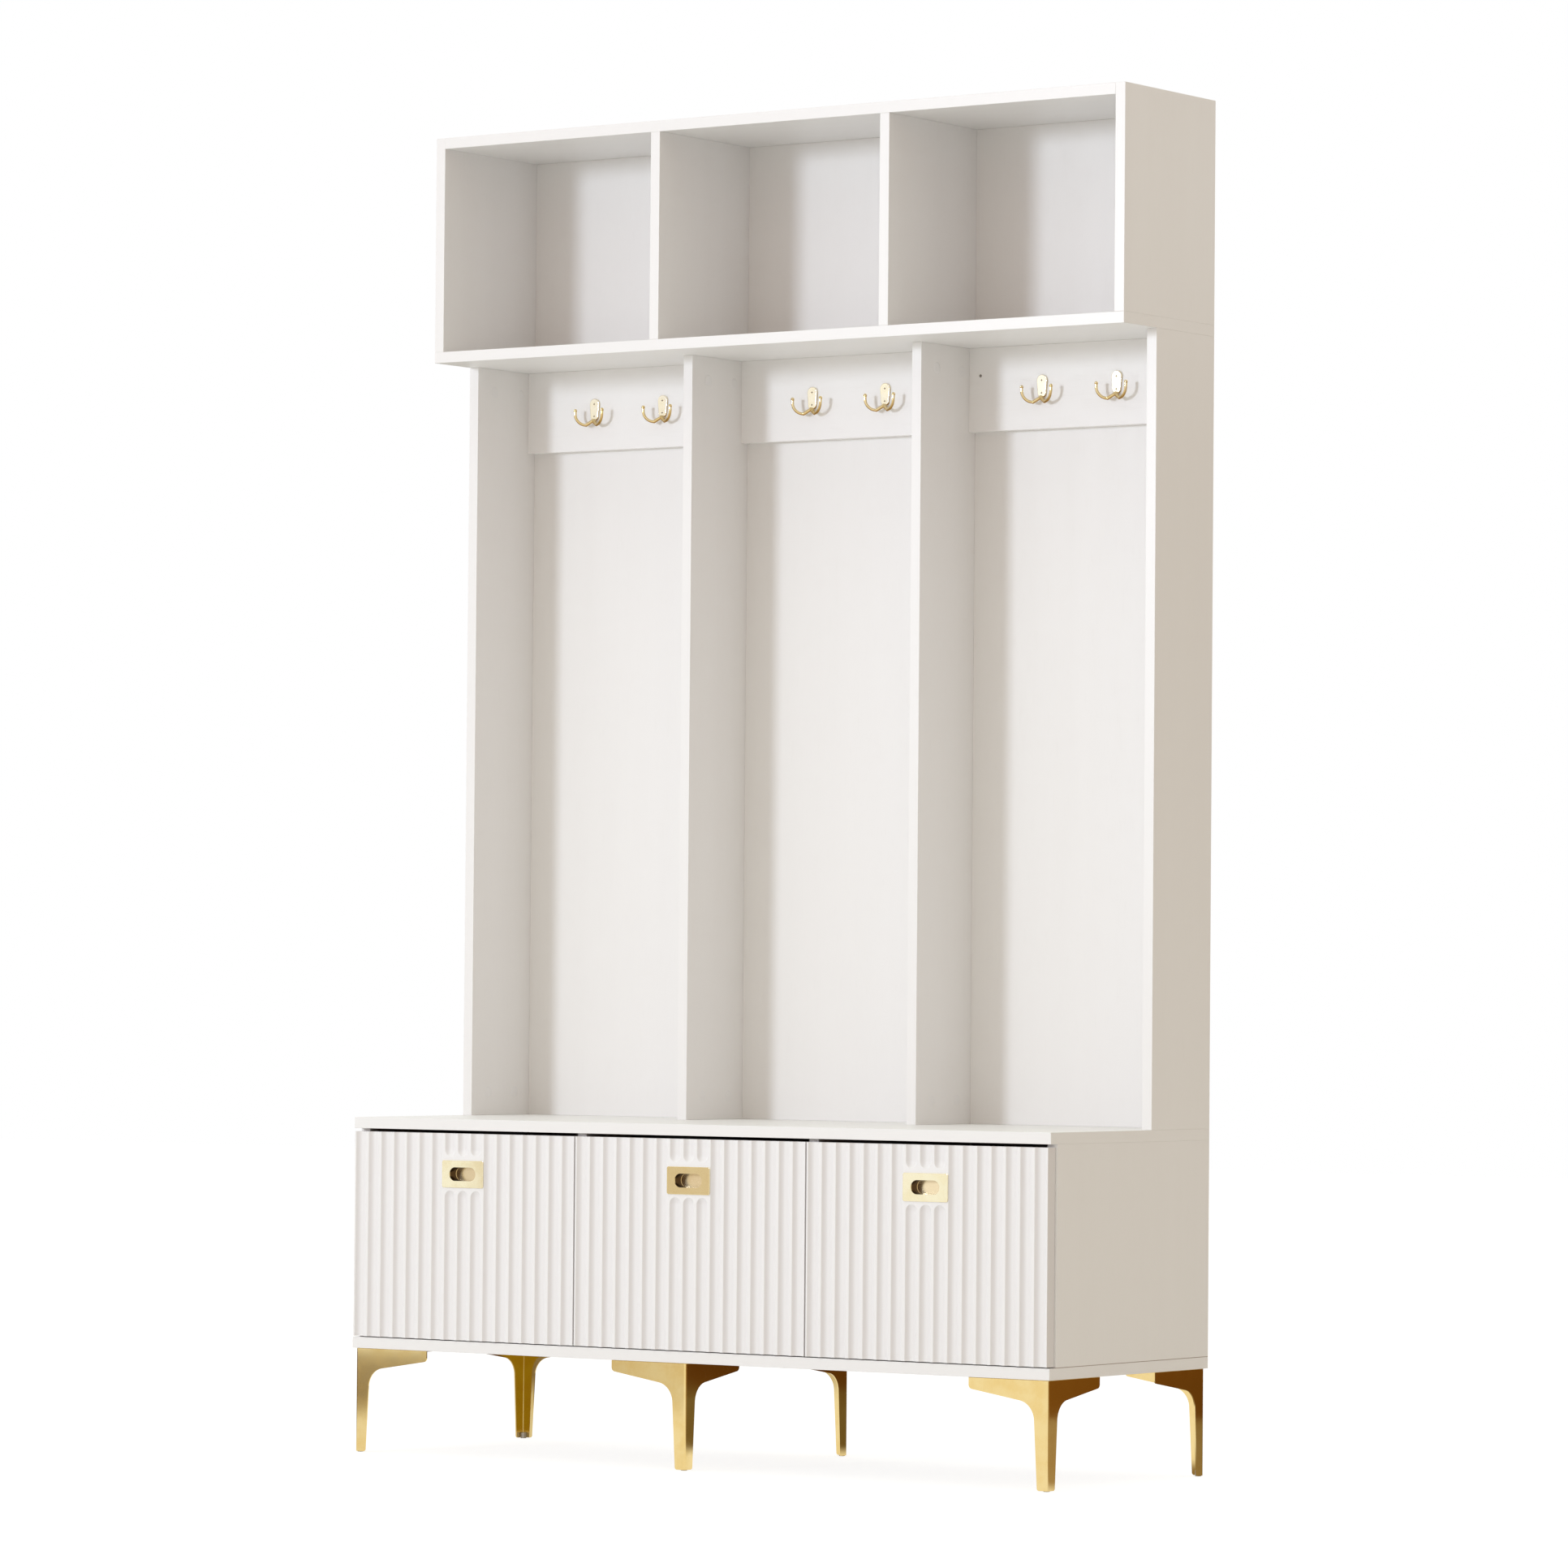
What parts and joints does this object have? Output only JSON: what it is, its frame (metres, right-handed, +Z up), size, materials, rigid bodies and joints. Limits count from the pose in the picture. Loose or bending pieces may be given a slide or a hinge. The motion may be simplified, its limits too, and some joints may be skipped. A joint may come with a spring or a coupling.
{
  "type": "hall tree with hooks",
  "caption": "Hall tree: a storage bench with fluted pull-out drawers on folded gold legs, coat bays with double hooks above it, and open cubbies on top.",
  "frame": {"origin": "on the floor, under the middle of the overall box, pulls included", "axes": "+Z up; the drawers open towards -Y; +X is the right-hand side seen from the front"},
  "size_m": [1.2, 0.411, 1.9235],
  "materials": {
    "white_board": "white laminated board with a faint embossed wood grain, satin",
    "back_white": "white laminated back board, satin",
    "fluted_white": "white foil on fluted fibreboard, satin",
    "drawer_board": "white laminated drawer board",
    "hook_brass": "polished yellow gold plating",
    "leg_gold": "polished yellow gold plating on folded steel",
    "pull_gold": "polished pale gold plating",
    "screw_zinc": "yellow zinc plating",
    "runner_steel": "white powder coat",
    "foot_plastic": "pale plastic"
  },
  "bodies": {
    "carcass": {"base_back": "back_white", "base_bottom_board": "white_board", "base_divider_left": "white_board", "base_divider_right": "white_board", "base_side_left": "white_board", "base_side_right": "white_board", "bench_top": "white_board", "box_back": "back_white", "box_divider_left": "white_board", "box_divider_right": "white_board", "box_shelf": "white_board", "box_side_left": "white_board", "box_side_right": "white_board", "box_top": "white_board", "cabinet_runners": "runner_steel", "coat_hook_1": "hook_brass", "coat_hook_2": "hook_brass", "coat_hook_3": "hook_brass", "coat_hook_4": "hook_brass", "coat_hook_5": "hook_brass", "coat_hook_6": "hook_brass", "hook_rail_left": "white_board", "hook_rail_middle": "white_board", "hook_rail_right": "white_board", "hutch_back_left": "back_white", "hutch_back_middle": "back_white", "hutch_back_right": "back_white", "hutch_divider_left": "white_board", "hutch_divider_right": "white_board", "hutch_side_left": "white_board", "hutch_side_right": "white_board", "leg_back_left": "leg_gold", "leg_back_middle": "leg_gold", "leg_back_right": "leg_gold", "leg_front_left": "leg_gold", "leg_front_middle": "leg_gold", "leg_front_right": "leg_gold", "leg_pads": "foot_plastic", "screws": "screw_zinc"},
    "drawer_left": {"drawer_left_back": "drawer_board", "drawer_left_bottom": "drawer_board", "drawer_left_front": "fluted_white", "drawer_left_pull": "pull_gold", "drawer_left_runners": "runner_steel", "drawer_left_side_left": "drawer_board", "drawer_left_side_right": "drawer_board"},
    "drawer_middle": {"drawer_middle_back": "drawer_board", "drawer_middle_bottom": "drawer_board", "drawer_middle_front": "fluted_white", "drawer_middle_pull": "pull_gold", "drawer_middle_runners": "runner_steel", "drawer_middle_side_left": "drawer_board", "drawer_middle_side_right": "drawer_board"},
    "drawer_right": {"drawer_right_back": "drawer_board", "drawer_right_bottom": "drawer_board", "drawer_right_front": "fluted_white", "drawer_right_pull": "pull_gold", "drawer_right_runners": "runner_steel", "drawer_right_side_left": "drawer_board", "drawer_right_side_right": "drawer_board"}
  },
  "joints": [
    {"name": "drawer_left_slide", "type": "slide", "parent": "carcass", "child": "drawer_left", "axis": [0, -1, 0], "range_m": [0, 0.26]},
    {"name": "drawer_middle_slide", "type": "slide", "parent": "carcass", "child": "drawer_middle", "axis": [0, -1, 0], "range_m": [0, 0.26]},
    {"name": "drawer_right_slide", "type": "slide", "parent": "carcass", "child": "drawer_right", "axis": [0, -1, 0], "range_m": [0, 0.26]}
  ]
}
